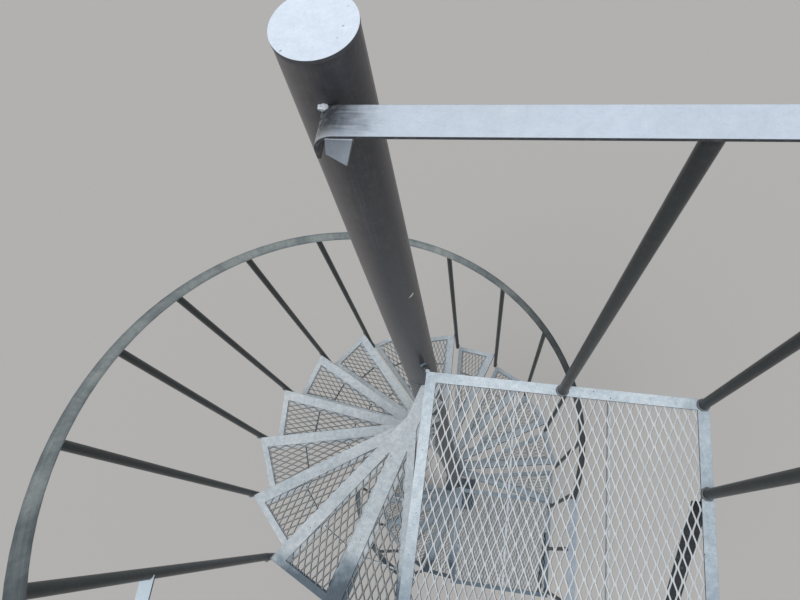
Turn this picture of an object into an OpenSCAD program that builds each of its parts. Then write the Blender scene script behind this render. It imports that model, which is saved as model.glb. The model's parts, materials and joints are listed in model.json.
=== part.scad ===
// Welded steel spiral fire escape stair with two square landings.
// Millimetres. Origin on the ground at the centre of the column foot, +Z up.
// +Y points away from the building, whose wall stands at y = -wall_y.
// The treads wind clockwise, seen from above, on the way down.

/* [Column] */
// Outside diameter of the centre column
column_d = 88; // [76:1:96]
// Wall thickness of the column tube
column_wall = 5; // [3:1:8]
// Height of the column above the upper landing
column_rise = 987; // [950:1:1100]
// Diameter of the closing plate on top of the column
cap_d = 89; // [88:1:100]
// Side of the square base plate
base_w = 260; // [220:5:300]
// Thickness of the base plate
base_t = 12; // [8:1:16]
// Spacing of the base plate anchors
base_hole_gap = 200; // [180:5:200]
// Diameter of the base plate anchor holes
base_hole_d = 14; // [10:1:16]

/* [Treads] */
// Height of one step
riser = 205; // [190:1:215]
// Radius of the outer tread corners
tread_r = 665; // [620:5:700]
// Turn of each step
step_angle = 20.26; // [19.5:0.02:20.6]
// Turn of the first nosing past the +X axis
first_nosing = 105.3; // [103:0.1:108]
// How far the nosing line passes the column centre
nosing_shift = 18; // [14:1:22]
// Width of the nosing bar
nosing_w = 37; // [30:1:40]
// Width of the outer and rear bars
side_bar_w = 21; // [18:1:25]
// Width of the ledge that carries the mesh inside the nosing bar
ledge_w = 12; // [8:1:16]
// Thickness of the tread bars
bar_t = 4; // [3:0.5:5]
// Depth of the tread frame
tread_depth = 32; // [26:1:40]
// Radius of the inner cross stiffener
stiffener_r1 = 340; // [300:5:380]
// Radius of the outer cross stiffener
stiffener_r2 = 500; // [460:5:540]
// Turn of the cross stiffeners towards the nosing's square
stiffener_turn = 5; // [0:1:10]
// Thickness of the cross stiffeners
stiffener_t = 4; // [3:0.5:6]
// Depth of the cross stiffeners
stiffener_h = 14; // [10:1:18]

/* [Mesh] */
// Long way of one diamond of the expanded metal
mesh_long = 56; // [50:1:62]
// Short way of one diamond of the expanded metal
mesh_short = 23.5; // [20:0.5:27]
// Width of a strand
strand_w = 3.4; // [2.5:0.1:4]
// Thickness of the mesh
mesh_t = 3; // [2:0.5:4]
// Gap between the nosing bar and the free edge of the mesh
mesh_gap = 1; // [0.5:0.5:3]

/* [Landings] */
// Distance from the column centre to the left edge of a landing
landing_left = 38; // [30:1:44]
// How far the right edge of a landing lies past the outer tread corners
landing_reach = 10; // [0:1:40]
// Distance from the column centre to the far edge of a landing
landing_far = 58; // [52:1:64]
// Gap between the outer tread corners and the wall
wall_gap = 10; // [8:1:60]
// Width of the landing frame bars
landing_bar_w = 25; // [22:1:30]
// Depth of the landing frame bars
landing_depth = 38; // [30:1:45]
// Thickness of the two bars that carry the mesh of a landing
mesh_bar_t = 5; // [3:1:8]
// Depth of those bars
mesh_bar_h = 20; // [12:2:28]
// Distance of the brace head from the far edge of a landing
brace_setback = 222; // [200:2:300]
// Width of the brace under the right edge of a landing
brace_w = 34; // [30:1:40]
// Height of the brace foot below a landing
brace_drop = 460; // [400:10:520]
// Diameter of the wall anchor holes
wall_hole_d = 12; // [8:1:14]

/* [Railings] */
// Height of the landing handrail
landing_rail_h = 930; // [900:5:945]
// How far the far handrail of the upper landing stands out over its bar at the column
rail_shift = 5.5; // [0:0.5:8]
// How much further it leans out over the right corner
rail_lean = 27; // [0:1:30]
// How far that corner of the handrail stands out to the right
rail_sway = 22; // [0:1:30]
// How far the top of the far baluster stands to the right of its foot
far_baluster_lean = 20; // [0:1:30]
// Height of the handrail of the lower landing
lower_rail_h = 1140; // [1100:5:1160]
// Height of the spiral handrail above the nosings
spiral_rail_h = 1024; // [1000:4:1060]
// How far the middle of the spiral handrail lies inside the baluster centres
spiral_rail_in = 2; // [0:0.5:6]
// Width of the spiral handrail flat bar
spiral_rail_w = 30; // [28:1:36]
// Inward roll of the spiral handrail
rail_roll = 28; // [0:2:34]
// Width of the landing handrail flat bar
rail_w = 38; // [34:1:42]
// Thickness of the handrail flat bar
rail_t = 4; // [3:0.5:8]
// Diameter of the balusters on the treads
tread_baluster_d = 20; // [18:1:22]
// Diameter of the balusters on the landings
landing_baluster_d = 22; // [18:1:25]
// Distance from the wall to the side baluster nearest to it
last_baluster_gap = 40; // [30:5:80]
// Distance from the far edge to the second side baluster of the upper landing
second_baluster = 204; // [150:2:220]
// Distance from the far edge to the middle baluster of the lower landing
middle_baluster = 317; // [280:1:360]
// Width of the bar that ties the handrail to the wall
tie_w = 25; // [20:1:40]
// Height of that bar above the upper landing
tie_h = 290; // [250:5:330]

/* [Hidden] */
$fn = 48;
UPPER_STEPS = 14;
LOWER_STEPS = 5;
lower_z = riser * (LOWER_STEPS + 1);
upper_z = lower_z + riser * (UPPER_STEPS + 1);
column_top = upper_z + column_rise;
column_r = column_d / 2;
landing_right = tread_r + landing_reach;
wall_y = tread_r + wall_gap;
baluster_out = 3;
baluster_r = tread_r + baluster_out;
spiral_rail_r = baluster_r - spiral_rail_in;
baluster_ahead = tread_baluster_d / 2;
cap_t = 5;
rail_gap = 0.2;

function dir(a) = [cos(a), sin(a)];
function left_of(a) = [-sin(a), cos(a)];

// nosing angle of step i below a landing, anticlockwise from +X
function nosing_angle(i) = -first_nosing - (i - 1) * step_angle;

// direction of the nosing line in the frame of its own tread
skew = -asin(nosing_shift / tread_r);

nosing_corner = [tread_r, 0];
rear_angle = step_angle + skew;
rear_line = tread_r * dir(step_angle) - tread_baluster_d * left_of(rear_angle);
rear_cut = 2;
tip_w = 2;
side_ledge_w = 4;
rear_corner = rear_line - rear_cut * dir(rear_angle);
outer_angle = atan2(rear_corner[1], rear_corner[0] - tread_r);

// plan of the open wedge between the bars, drawn in by the given bar widths
function wedge(front, outer, rear) =
    let (
        a = nosing_corner + front * left_of(skew),
        b = rear_corner - rear * left_of(rear_angle),
        c = nosing_corner + outer * left_of(outer_angle)
    )
    [meet(a, skew, b, rear_angle), meet(a, skew, c, outer_angle), meet(b, rear_angle, c, outer_angle)];

// crossing of the line through p along angle a with the line through q along b
function meet(p, a, q, b) =
    let (t = ((q - p) * left_of(b)) / (dir(a) * left_of(b)))
    p + t * dir(a);

// expanded metal, long way along x

half = [mesh_long / 2, mesh_short / 2];
// share of each half width that stays open between the strands
open_share = 1 - strand_w * norm(half) / (2 * half[0] * half[1]);
border = 0.5;
smallest_opening = 25;

function opening(c) = [
    c + [half[0] * open_share, 0], c + [0, half[1] * open_share],
    c - [half[0] * open_share, 0], c - [0, half[1] * open_share]
];

// the part of a convex shape to the left of the line through p along angle a
function clip(shape, p, a) =
    let (d = [for (q = shape) (q - p) * left_of(a)])
    [
        for (k = [0 : len(shape) - 1])
            let (m = (k + 1) % len(shape))
            each concat(
                d[k] >= 0 ? [shape[k]] : [],
                d[k] * d[m] < 0
                    ? [shape[k] + (shape[m] - shape[k]) * d[k] / (d[k] - d[m])]
                    : []
            )
    ];

function clip_all(shape, lines, k = 0) =
    k == len(lines) || len(shape) < 3
        ? shape
        : clip_all(clip(shape, lines[k][0], lines[k][1]), lines, k + 1);

function area(shape) =
    len(shape) < 3
        ? 0
        : abs(
            [
                for (k = [0 : len(shape) - 1])
                    let (p = shape[k], q = shape[(k + 1) % len(shape)])
                    p[0] * q[1] - p[1] * q[0]
            ] * [for (k = [0 : len(shape) - 1]) 0.5]
        );

// openings around the given centres, cut off along the lines
function openings(centres, lines) = [
    for (c = centres)
        let (shape = clip_all(opening(c), lines))
        if (area(shape) > smallest_opening) shape
];

// a sheet with the given outline and holes, as one polygon
module pierced(outline, holes) {
    firsts = [
        for (k = 0, n = len(outline); k < len(holes); n = n + len(holes[k]), k = k + 1) n
    ];
    polygon(
        concat(outline, [for (h = holes) each h]),
        concat(
            [[for (k = [0 : len(outline) - 1]) k]],
            [
                for (k = [0 : len(holes) - 1])
                    [for (m = [0 : len(holes[k]) - 1]) firsts[k] + m]
            ]
        )
    );
}

// a point of the tread's plan seen along its nosing line from the outer corner
function along_nosing(p) = [
    (p - nosing_corner) * dir(skew), (p - nosing_corner) * left_of(skew)
];

// a line that runs beside an edge of the tread, at the given distance inside it
function rear_side(w) = [along_nosing(rear_corner - w * left_of(rear_angle)), rear_angle - skew];
function outer_side(w) = [along_nosing(nosing_corner + w * left_of(outer_angle)), outer_angle - skew];

// the mesh of one tread: a free zigzag strand beside the nosing bar, the rest cut at the bars
module tread_mesh() {
    edge = nosing_w + mesh_gap;
    beyond = 5 * side_bar_w;
    rear = rear_side(side_bar_w / 2);
    outer = outer_side(side_bar_w / 2);
    tip = meet([0, edge], 0, rear[0], rear[1]);
    far = rear[0] + beyond * dir(rear[1]);
    zigzag = [
        for (k = [-1 : 2 : -tip[0] / half[0]])
            let (s = -k * half[0])
            if (s - half[0] * open_share > tip[0])
            each [
                [s + half[0] * open_share, edge],
                [s, edge + half[1] * open_share],
                [s - half[0] * open_share, edge]
            ]
    ];
    outline = clip(concat([[beyond, edge]], zigzag, [tip, far]), outer[0], outer[1]);
    lines = [
        outer_side(side_bar_w + border),
        [rear_side(side_bar_w + border)[0], rear_side(0)[1] + 180]
    ];
    centres = [
        for (k = [0 : -tip[0] / half[0]], j = [1 : 2 + far[1] / half[1]])
            if ((k + j) % 2 == 1) [-k * half[0], edge + j * half[1]]
    ];
    translate(nosing_corner) rotate([0, 0, skew]) pierced(outline, openings(centres, lines));
}

// plan of the tread frame, its nosing bar and its other two bars of the given widths
module tread_bars(front, side) {
    inner = nosing_corner + front * left_of(skew);
    column_end = meet([0, 0], 90, nosing_corner, skew);
    rear_end = meet(rear_corner, rear_angle, nosing_corner + tip_w * left_of(skew), skew);
    joint = meet(inner, skew, rear_corner - side / 2 * left_of(rear_angle), rear_angle);
    difference() {
        union() {
            difference() {
                polygon([nosing_corner, rear_corner, rear_end, column_end]);
                polygon(wedge(front, side, side));
            }
            polygon([column_end, nosing_corner, joint, meet([0, 0], 90, inner, skew)]);
        }
        circle(r = column_r, $fn = 96);
    }
}

module tread(z, angle) {
    translate([0, 0, z]) rotate([0, 0, angle]) {
        translate([0, 0, -bar_t]) linear_extrude(bar_t) tread_bars(nosing_w, side_bar_w);
        translate([0, 0, -2 * bar_t])
            linear_extrude(bar_t) tread_bars(nosing_w + ledge_w, side_bar_w + side_ledge_w);
        translate([0, 0, -tread_depth])
            linear_extrude(tread_depth - 2 * bar_t) tread_bars(bar_t, bar_t);
        translate([0, 0, -bar_t])
            linear_extrude(mesh_t) tread_mesh();
        for (r = [stiffener_r1, stiffener_r2]) tread_stiffener(r);
    }
}

module tread_stiffener(r) {
    translate([0, 0, -2 * bar_t - stiffener_h])
        linear_extrude(stiffener_h + bar_t)
            intersection() {
                polygon(wedge(bar_t / 2, bar_t / 2, bar_t / 2));
                rotate([0, 0, step_angle / 2 - stiffener_turn])
                    translate([r - stiffener_t / 2, -tread_r]) square([stiffener_t, 2 * tread_r]);
            }
}

module upper_tread(i) {
    color("#5d6468") tread(upper_z - i * riser, nosing_angle(i));
}

module lower_tread(i) {
    color("#5d6468") tread(lower_z - i * riser, nosing_angle(i));
}

// column

module centre_column() {
    color("#34373b")
        translate([0, 0, base_t])
            difference() {
                cylinder(d = column_d, h = column_top - base_t - cap_t);
                translate([0, 0, -1])
                    cylinder(d = column_d - 2 * column_wall, h = column_top);
            }
}

module column_cap() {
    color("#8d979f") translate([0, 0, column_top - cap_t]) cylinder(d = cap_d, h = cap_t);
}

module base_plate() {
    color("#5d6468")
        difference() {
            translate([-base_w / 2, -base_w / 2, 0]) cube([base_w, base_w, base_t]);
            for (x = [-1, 1], y = [-1, 1])
                translate([x * base_hole_gap / 2, y * base_hole_gap / 2, -1])
                    cylinder(d = base_hole_d, h = base_t + 2);
        }
}

// landings

module landing_plan(inset) {
    translate([landing_left + inset, -wall_y + inset])
        square([
            landing_right - landing_left - 2 * inset,
            wall_y - landing_far - 2 * inset
        ]);
}

module landing_frame(z) {
    color("#5d6468") translate([0, 0, z]) {
        difference() {
            union() {
                translate([0, 0, -bar_t])
                    linear_extrude(bar_t)
                        difference() { landing_plan(0); landing_plan(landing_bar_w); }
                translate([0, 0, -landing_depth])
                    linear_extrude(landing_depth)
                        difference() { landing_plan(0); landing_plan(bar_t); }
            }
            for (x = wall_hole_x()) translate([x, -wall_y - 1, -(landing_depth + bar_t) / 2])
                rotate([-90, 0, 0]) cylinder(d = wall_hole_d, h = bar_t + 2);
        }
        landing_lug();
    }
}

wall_hole_in = 90;

function wall_hole_x() = [landing_left + wall_hole_in, landing_right - wall_hole_in];

lug_w = 16;
lug_below = 12;

// gusset that joins the far left corner of the frame to the column
module landing_lug() {
    corner = [landing_left, -landing_far];
    inwards = atan2(landing_far, -landing_left);
    foot = corner + (norm(corner) - column_r + bar_t) * dir(inwards);
    translate([0, 0, -landing_depth])
        linear_extrude(landing_depth - lug_below)
            difference() {
                polygon([
                    corner + [lug_w / 2, -bar_t / 2], foot - lug_w / 2 * left_of(inwards),
                    foot + lug_w / 2 * left_of(inwards), corner + [bar_t / 2, -lug_w / 2],
                    corner + [bar_t / 2, -bar_t / 2]
                ]);
                circle(r = column_r, $fn = 96);
            }
}

landing_w = landing_right - landing_left;

// where the mesh of a landing is parted, over stiffener k
function mesh_part(k) = half[1] * round(k * landing_w / 3 / half[1]);

// third k of a landing's mesh, its long way towards the wall
module landing_mesh(z, k) {
    depth = wall_y - landing_far;
    near = landing_bar_w + border;
    from = k == 0 ? bar_t : mesh_part(k);
    to = k == 2 ? landing_w - bar_t : mesh_part(k + 1);
    centres = [
        for (i = [1 : ceil(depth / half[0])], j = [0 : ceil(landing_w / half[1])])
            if ((i + j) % 2 == 0) [i * half[0], j * half[1]]
    ];
    lines = [
        [[near, 0], -90], [[depth - near, 0], 90],
        [[0, k == 0 ? near : from + border], 0],
        [[0, k == 2 ? landing_w - near : to - border], 180]
    ];
    color("#8d979f")
        translate([landing_left, -landing_far, z - bar_t - mesh_t])
            linear_extrude(mesh_t)
                rotate([0, 0, -90])
                    pierced(
                        [[bar_t, from], [depth - bar_t, from], [depth - bar_t, to], [bar_t, to]],
                        openings(centres, lines)
                    );
}

// two flat bars on edge across the landing that carry the mesh
module landing_stiffeners(z) {
    color("#8d979f")
        for (k = [1, 2])
            translate([
                landing_left + k * landing_w / 3 - mesh_bar_t / 2,
                -wall_y + bar_t, z - bar_t - mesh_t - mesh_bar_h
            ])
                cube([mesh_bar_t, wall_y - landing_far - 2 * bar_t, mesh_bar_h]);
}

// side view of the brace, w deep from its upper edge: Y along x and height along y
module brace_side(w) {
    head = -landing_far - brace_setback;
    fall = brace_drop - landing_depth;
    slope = atan2(fall, head + wall_y);
    polygon([
        [head, 0], [head + w / sin(slope), 0], [-wall_y, -fall - w / cos(slope)], [-wall_y, -fall]
    ]);
}

// angle bar from under the right edge down to the wall, its flange on top
module landing_brace(z) {
    color("#3b3f43")
        translate([landing_right, 0, z - landing_depth])
            rotate([90, 0, 90]) {
                translate([0, 0, -bar_t]) linear_extrude(bar_t) brace_side(brace_w);
                translate([0, 0, -brace_w]) linear_extrude(brace_w) brace_side(bar_t);
            }
}

// railings

rail_centre_y = -landing_far - landing_bar_w / 2;
rail_centre_x = landing_right - landing_bar_w / 2;

rail_end_x = 22;
rail_bend_r = 26;
rail_end_drop = 12;
tab_x = 12;
tab_w = 28;
tab_t = 5;
tab_slope = 53;
tab_long = 26;
tab_short = 15;

// how far the far handrail stands out at x
function lean_at(x) = rail_shift + rail_lean * x / rail_centre_x;

// how far the side handrail stands out at y
function sway_at(y) = rail_sway * (y + wall_y) / (rail_centre_y + wall_y);

module rail_plan() {
    corner = rail_centre_x + rail_w / 2;
    inner = rail_centre_x - rail_w / 2;
    far = rail_centre_y + rail_w / 2;
    near = rail_centre_y - rail_w / 2;
    polygon([
        [rail_end_x, far + lean_at(rail_end_x)],
        [corner + rail_sway, far + lean_at(corner)],
        [corner, -wall_y],
        [inner, -wall_y],
        [inner + rail_sway, near + lean_at(inner)],
        [rail_end_x, near + lean_at(rail_end_x)]
    ]);
}

module upper_landing_handrail() {
    color("#8d979f") translate([0, 0, upper_z + landing_rail_h - rail_t]) {
        linear_extrude(rail_t) rail_plan();
        translate([rail_end_x, rail_centre_y + rail_w / 2 + lean_at(rail_end_x), rail_t])
            rotate([90, 0, 0]) rail_bend();
        handrail_tab();
    }
}

// quarter turn that curls the end of the handrail down beside the column
module rail_bend() {
    translate([0, -rail_bend_r, 0]) linear_extrude(rail_w) intersection() {
        difference() {
            circle(r = rail_bend_r);
            circle(r = rail_bend_r - rail_t);
        }
        translate([-rail_bend_r, 0]) square(rail_bend_r);
    }
    translate([-rail_bend_r, -rail_bend_r - rail_end_drop, 0]) cube([rail_t, rail_end_drop, rail_w]);
}

// tab that holds the handrail to the column: level below the rail, then bent down outside it,
// with its corner cut off askew
module handrail_tab() {
    near = rail_centre_y - rail_w / 2 + rail_shift;
    translate([0, 0, -tab_t])
        linear_extrude(tab_t)
            difference() {
                polygon([
                    [tab_x, near], [tab_x + tab_w, near], [tab_x + tab_w, near + rail_w],
                    [tab_x - tab_t, 1 - column_r]
                ]);
                circle(r = column_r, $fn = 96);
            }
    translate([tab_x, near, 0])
        rotate([tab_slope, 0, 0])
            translate([0, 0, -tab_t])
                linear_extrude(tab_t)
                    polygon([
                        [0, 0], [tab_w, 0], [3 / 4 * tab_w, -tab_long], [0, -tab_short]
                    ]);
}

module upper_landing_balusters() {
    middle = (landing_left + landing_right) / 2;
    side = [-landing_far - second_baluster, -wall_y + last_baluster_gap];
    color("#34373b") {
        leaning_baluster(middle, rail_centre_y, [far_baluster_lean, lean_at(middle)]);
        leaning_baluster(rail_centre_x, rail_centre_y, [rail_sway, lean_at(rail_centre_x)]);
        for (y = side) leaning_baluster(rail_centre_x, y, [sway_at(y), 0]);
    }
}

module lower_landing_balusters() {
    color("#34373b") {
        lower_baluster(-landing_far - middle_baluster);
        lower_baluster(-wall_y + last_baluster_gap);
    }
}

module lower_baluster(y) {
    translate([rail_centre_x, y, lower_z])
        cylinder(d = landing_baluster_d, h = lower_rail_h - rail_t);
}

// baluster of the upper landing, its top moved by lean and its ends cut level
module leaning_baluster(x, y, lean) {
    h = landing_rail_h - rail_t;
    side = 6 * landing_baluster_d;
    intersection() {
        translate([x, y, upper_z])
            rotate([-atan(lean[1] / h), 0, 0]) rotate([0, atan(lean[0] / h), 0])
                translate([0, 0, -landing_baluster_d / 4])
                    cylinder(d = landing_baluster_d, h = h + landing_baluster_d / 2);
        translate([x - side / 2, y - side / 2, upper_z]) cube([side, side, h]);
    }
}

// level rail from the wall to the last baluster of the upper flight
module lower_landing_handrail() {
    end = baluster_place(UPPER_STEPS);
    color("#8d979f") translate([0, 0, lower_z + lower_rail_h - rail_t])
        difference() {
            translate([rail_centre_x - rail_w / 2, -wall_y, 0])
                cube([rail_w, wall_y + end[1], rail_t]);
            translate([end[0], end[1], -1]) cylinder(d = tread_baluster_d, h = rail_t + 2, $fn = 96);
        }
}

// top of the spiral handrail at turn t clockwise past +X below a landing at z
function spiral_z(z, t) = z + spiral_rail_h - riser * ((t - first_nosing) / step_angle + 1);

// rail_section is the bar's outline in the plane through the column, seen from its middle
function rail_section() =
    let (
        u = spiral_rail_w / 2 * dir(rail_roll),
        v = rail_t * left_of(rail_roll)
    )
    [-u - v, u - v, u, -u];

module spiral_handrail(z, from, to) {
    n = ceil((to - from) / 4);
    section = rail_section();
    function ring(k) =
        let (t = from + (to - from) * k / n, d = dir(-t), h = spiral_z(z, t))
        [for (q = section) [(spiral_rail_r + q[0]) * d[0], (spiral_rail_r + q[0]) * d[1], h + q[1]]];
    points = [for (k = [0 : n]) each ring(k)];
    faces = concat(
        [[0, 1, 2, 3], [4 * n + 3, 4 * n + 2, 4 * n + 1, 4 * n]],
        [
            for (k = [0 : n - 1], s = [0 : 3])
                let (b = 4 * k, u = (s + 1) % 4)
                each [[b + s, b + 4 + s, b + 4 + u], [b + s, b + 4 + u, b + u]]
        ]
    );
    color("#6f787f") polyhedron(points, faces, convexity = 10);
}

// angle and place of the baluster ahead of nosing i
function baluster_angle(i) = nosing_angle(i) - baluster_ahead / baluster_r * 180 / PI;
function baluster_place(i) = baluster_r * dir(baluster_angle(i));

// how much thicker a leaning bar is at its bend, and how far above the tread it bends
bend_swell = 1;
bend_above = 5;
// turn by which the tops of the first balusters of the upper flight stand behind their feet
baluster_leans = [0, 3.4, -0.5, -2.1];
function lean_of(i) = i <= len(baluster_leans) ? baluster_leans[i - 1] : 0;

// how far the top of baluster i stands from the place over its foot
function top_shift(i, lean) =
    baluster_r * (dir(baluster_angle(i) + lean) - dir(baluster_angle(i)));

// height of the top of baluster i, in the middle
function baluster_top(z, i, lean) =
    spiral_z(z, -baluster_angle(i) - lean) - rail_t / cos(rail_roll)
        + (baluster_r - spiral_rail_r) * tan(rail_roll) - rail_gap;

// bar ahead of nosing i, upright beside the treads and leaning above them, its top cut to the
// slope and roll of the rail
module tread_baluster(z, i, foot, lean) {
    place = baluster_place(i);
    shift = top_shift(i, lean);
    top = baluster_top(z, i, lean);
    bend = lean == 0 ? foot : z - i * riser + bend_above;
    slope = riser / (baluster_r * step_angle * PI / 180);
    side = 4 * tread_baluster_d;
    difference() {
        union() {
            if (lean != 0)
                translate([place[0], place[1], foot]) {
                    cylinder(d = tread_baluster_d, h = bend - foot);
                    translate([0, 0, bend - foot]) sphere(d = tread_baluster_d + bend_swell);
                }
            translate([place[0], place[1], bend])
                rotate([-atan(shift[1] / (top - bend)), 0, 0])
                    rotate([0, atan(shift[0] / (top - bend)), 0])
                        cylinder(d = tread_baluster_d, h = top - bend + 2 * tread_baluster_d);
        }
        translate([place[0] + shift[0], place[1] + shift[1], top])
            rotate([0, 0, baluster_angle(i) + lean])
                rotate([0, -rail_roll, 0]) rotate([atan(slope * cos(rail_roll)), 0, 0])
                    translate([-side / 2, -side / 2, 0]) cube(side);
    }
}

module upper_spiral_balusters() {
    color("#34373b")
        for (i = [1 : UPPER_STEPS])
            tread_baluster(
                upper_z, i, i < UPPER_STEPS ? upper_z - (i + 1) * riser - tread_depth : lower_z,
                lean_of(i)
            );
}

module lower_spiral_balusters() {
    color("#34373b")
        for (i = [1 : LOWER_STEPS])
            tread_baluster(lower_z, i, lower_z - min(i + 1, LOWER_STEPS) * riser - tread_depth, 0);
}

rail_before = 4;
rail_after = 3.5;

module upper_spiral_handrail() {
    spiral_handrail(
        upper_z, first_nosing - rail_before,
        first_nosing + (UPPER_STEPS - 1) * step_angle + rail_after
    );
}

module lower_spiral_handrail() {
    spiral_handrail(
        lower_z, first_nosing - rail_before,
        first_nosing + (LOWER_STEPS - 1) * step_angle + rail_after
    );
}

// flat bar from the second tread baluster to the wall
module handrail_wall_bracket() {
    foot = upper_z - 2 * riser;
    lean = lean_of(2);
    share = (upper_z + tie_h - foot) / (baluster_top(upper_z, 2, lean) - foot);
    end = baluster_place(2) + share * top_shift(2, lean);
    color("#8d979f")
        difference() {
            translate([end[0] - tie_w / 2, -wall_y, upper_z + tie_h])
                cube([tie_w, wall_y + end[1], rail_t]);
            translate([end[0], end[1], upper_z])
                cylinder(d = tread_baluster_d, h = 2 * tie_h, $fn = 96);
        }
}

centre_column();
column_cap();
base_plate();
upper_tread(1);  // tread_01
upper_tread(2);  // tread_02
upper_tread(3);  // tread_03
upper_tread(4);  // tread_04
upper_tread(5);  // tread_05
upper_tread(6);  // tread_06
upper_tread(7);  // tread_07
upper_tread(8);  // tread_08
upper_tread(9);  // tread_09
upper_tread(10);  // tread_10
upper_tread(11);  // tread_11
upper_tread(12);  // tread_12
upper_tread(13);  // tread_13
upper_tread(14);  // tread_14
lower_tread(1);  // lower_tread_01
lower_tread(2);  // lower_tread_02
lower_tread(3);  // lower_tread_03
lower_tread(4);  // lower_tread_04
lower_tread(5);  // lower_tread_05
landing_frame(upper_z);  // upper_landing_frame
landing_mesh(upper_z, 0);  // upper_mesh_left
landing_mesh(upper_z, 1);  // upper_mesh_middle
landing_mesh(upper_z, 2);  // upper_mesh_right
landing_stiffeners(upper_z);  // upper_landing_stiffeners
landing_brace(upper_z);  // upper_landing_brace
landing_frame(lower_z);  // lower_landing_frame
landing_mesh(lower_z, 0);  // lower_mesh_left
landing_mesh(lower_z, 1);  // lower_mesh_middle
landing_mesh(lower_z, 2);  // lower_mesh_right
landing_stiffeners(lower_z);  // lower_landing_stiffeners
landing_brace(lower_z);  // lower_landing_brace
upper_landing_handrail();
upper_landing_balusters();
lower_landing_handrail();
lower_landing_balusters();
upper_spiral_handrail();
upper_spiral_balusters();
lower_spiral_handrail();
lower_spiral_balusters();
handrail_wall_bracket();
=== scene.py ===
import json
import math

import bmesh
import bpy
from mathutils import Matrix, Quaternion, Vector


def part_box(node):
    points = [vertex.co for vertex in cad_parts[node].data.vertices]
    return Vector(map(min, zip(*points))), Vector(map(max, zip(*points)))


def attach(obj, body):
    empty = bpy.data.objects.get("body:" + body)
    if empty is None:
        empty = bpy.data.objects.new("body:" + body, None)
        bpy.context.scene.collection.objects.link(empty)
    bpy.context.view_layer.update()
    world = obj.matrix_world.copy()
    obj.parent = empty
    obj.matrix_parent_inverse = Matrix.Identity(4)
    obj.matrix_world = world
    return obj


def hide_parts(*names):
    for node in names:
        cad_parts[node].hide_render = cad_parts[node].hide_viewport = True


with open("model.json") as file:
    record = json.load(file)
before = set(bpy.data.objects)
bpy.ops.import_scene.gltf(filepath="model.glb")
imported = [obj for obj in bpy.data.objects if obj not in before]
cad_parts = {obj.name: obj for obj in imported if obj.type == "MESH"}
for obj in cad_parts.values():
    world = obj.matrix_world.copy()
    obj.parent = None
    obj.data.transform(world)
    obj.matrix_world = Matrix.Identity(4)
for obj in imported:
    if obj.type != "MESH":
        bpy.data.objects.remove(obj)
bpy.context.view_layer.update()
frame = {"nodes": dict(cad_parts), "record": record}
stairNodes = frame["nodes"]
stairRecord = frame["record"]
print("stair frame loaded:", len(stairNodes), "nodes")


# viewpoint, floor and light

viewpoint = {
    "spot": (0.1906, -0.4311, 5.7009),  # above the upper landing, close to the wall
    "turn": (0.3817, 0.1423, 0.1121),  # rotation vector, radians
    "lens": 27.0,
    "sensor": 36.0,
    "nearest": 0.01,
}

studio = {
    "floorSize": 60.0,
    "floorColour": (0.45, 0.445, 0.435, 1.0),
    "floorRough": 0.9,
    "floorGloss": 0.1,
    "backdropColour": (0.86, 0.86, 0.86, 1.0),
    "worldColour": (1, 1, 1, 1),
    "worldStrength": 0.62,
    "sunStrength": 1.25,
    "sunAngle": 0.7,
    "sunTurn": (0.35, -0.25, 0.0),
    "sunSpot": (0, 0, 9),
}


def addNode(tree, kind, values=None, **settings):
    # a node with its settings, its inputs given as numbers or as sockets to link
    made = tree.nodes.new(kind)
    for key, value in settings.items():
        setattr(made, key, value)
    for key, value in (values or {}).items():
        if isinstance(value, bpy.types.NodeSocket):
            tree.links.new(value, made.inputs[key])
        else:
            made.inputs[key].default_value = value
    return made


def mathNode(tree, operation, *values):
    return addNode(tree, "ShaderNodeMath", dict(enumerate(values)), operation=operation).outputs[0]


def addViewpoint():
    turn = Vector(viewpoint["turn"])
    bpy.ops.object.camera_add(location=viewpoint["spot"])
    camera = bpy.context.object
    camera.name = "landingView"
    camera.rotation_mode = "QUATERNION"
    camera.rotation_quaternion = Quaternion(turn.normalized(), turn.length)
    camera.data.lens = viewpoint["lens"]
    camera.data.sensor_width = viewpoint["sensor"]
    camera.data.clip_start = viewpoint["nearest"]
    bpy.context.scene.camera = camera


def addFloor():
    bpy.ops.mesh.primitive_plane_add(size=studio["floorSize"], location=(0, 0, 0))
    floor = bpy.context.object
    floor.name = "studioFloor"
    paper = bpy.data.materials.new("studioPaper")
    paper.use_nodes = True
    shader = paper.node_tree.nodes["Principled BSDF"]
    shader.inputs["Base Color"].default_value = studio["floorColour"]
    shader.inputs["Roughness"].default_value = studio["floorRough"]
    shader.inputs["Specular IOR Level"].default_value = studio["floorGloss"]
    floor.data.materials.append(paper)


def addLight():
    world = bpy.data.worlds.new("studioWorld")
    bpy.context.scene.world = world
    world.use_nodes = True
    tree = world.node_tree
    tree.nodes.clear()
    path = addNode(tree, "ShaderNodeLightPath")
    seen = mathNode(tree, "MAXIMUM", path.outputs["Is Camera Ray"], path.outputs["Is Glossy Ray"])
    seen = mathNode(tree, "MAXIMUM", seen, path.outputs["Is Transmission Ray"])
    lit = addNode(tree, "ShaderNodeBackground",
                  {"Color": studio["worldColour"], "Strength": studio["worldStrength"]})
    shown = addNode(tree, "ShaderNodeBackground", {"Color": studio["backdropColour"], "Strength": 1.0})
    both = addNode(tree, "ShaderNodeMixShader", {0: seen, 1: lit.outputs[0], 2: shown.outputs[0]})
    addNode(tree, "ShaderNodeOutputWorld", {"Surface": both.outputs[0]})
    bpy.ops.object.light_add(type="SUN", location=studio["sunSpot"], rotation=studio["sunTurn"])
    sun = bpy.context.object
    sun.name = "softSun"
    sun.data.energy = studio["sunStrength"]
    sun.data.angle = studio["sunAngle"]


addViewpoint()
addFloor()
addLight()
bpy.context.scene.view_settings.view_transform = "Standard"
print("viewpoint, floor and light placed")


# modelling by hand in edit mode

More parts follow.
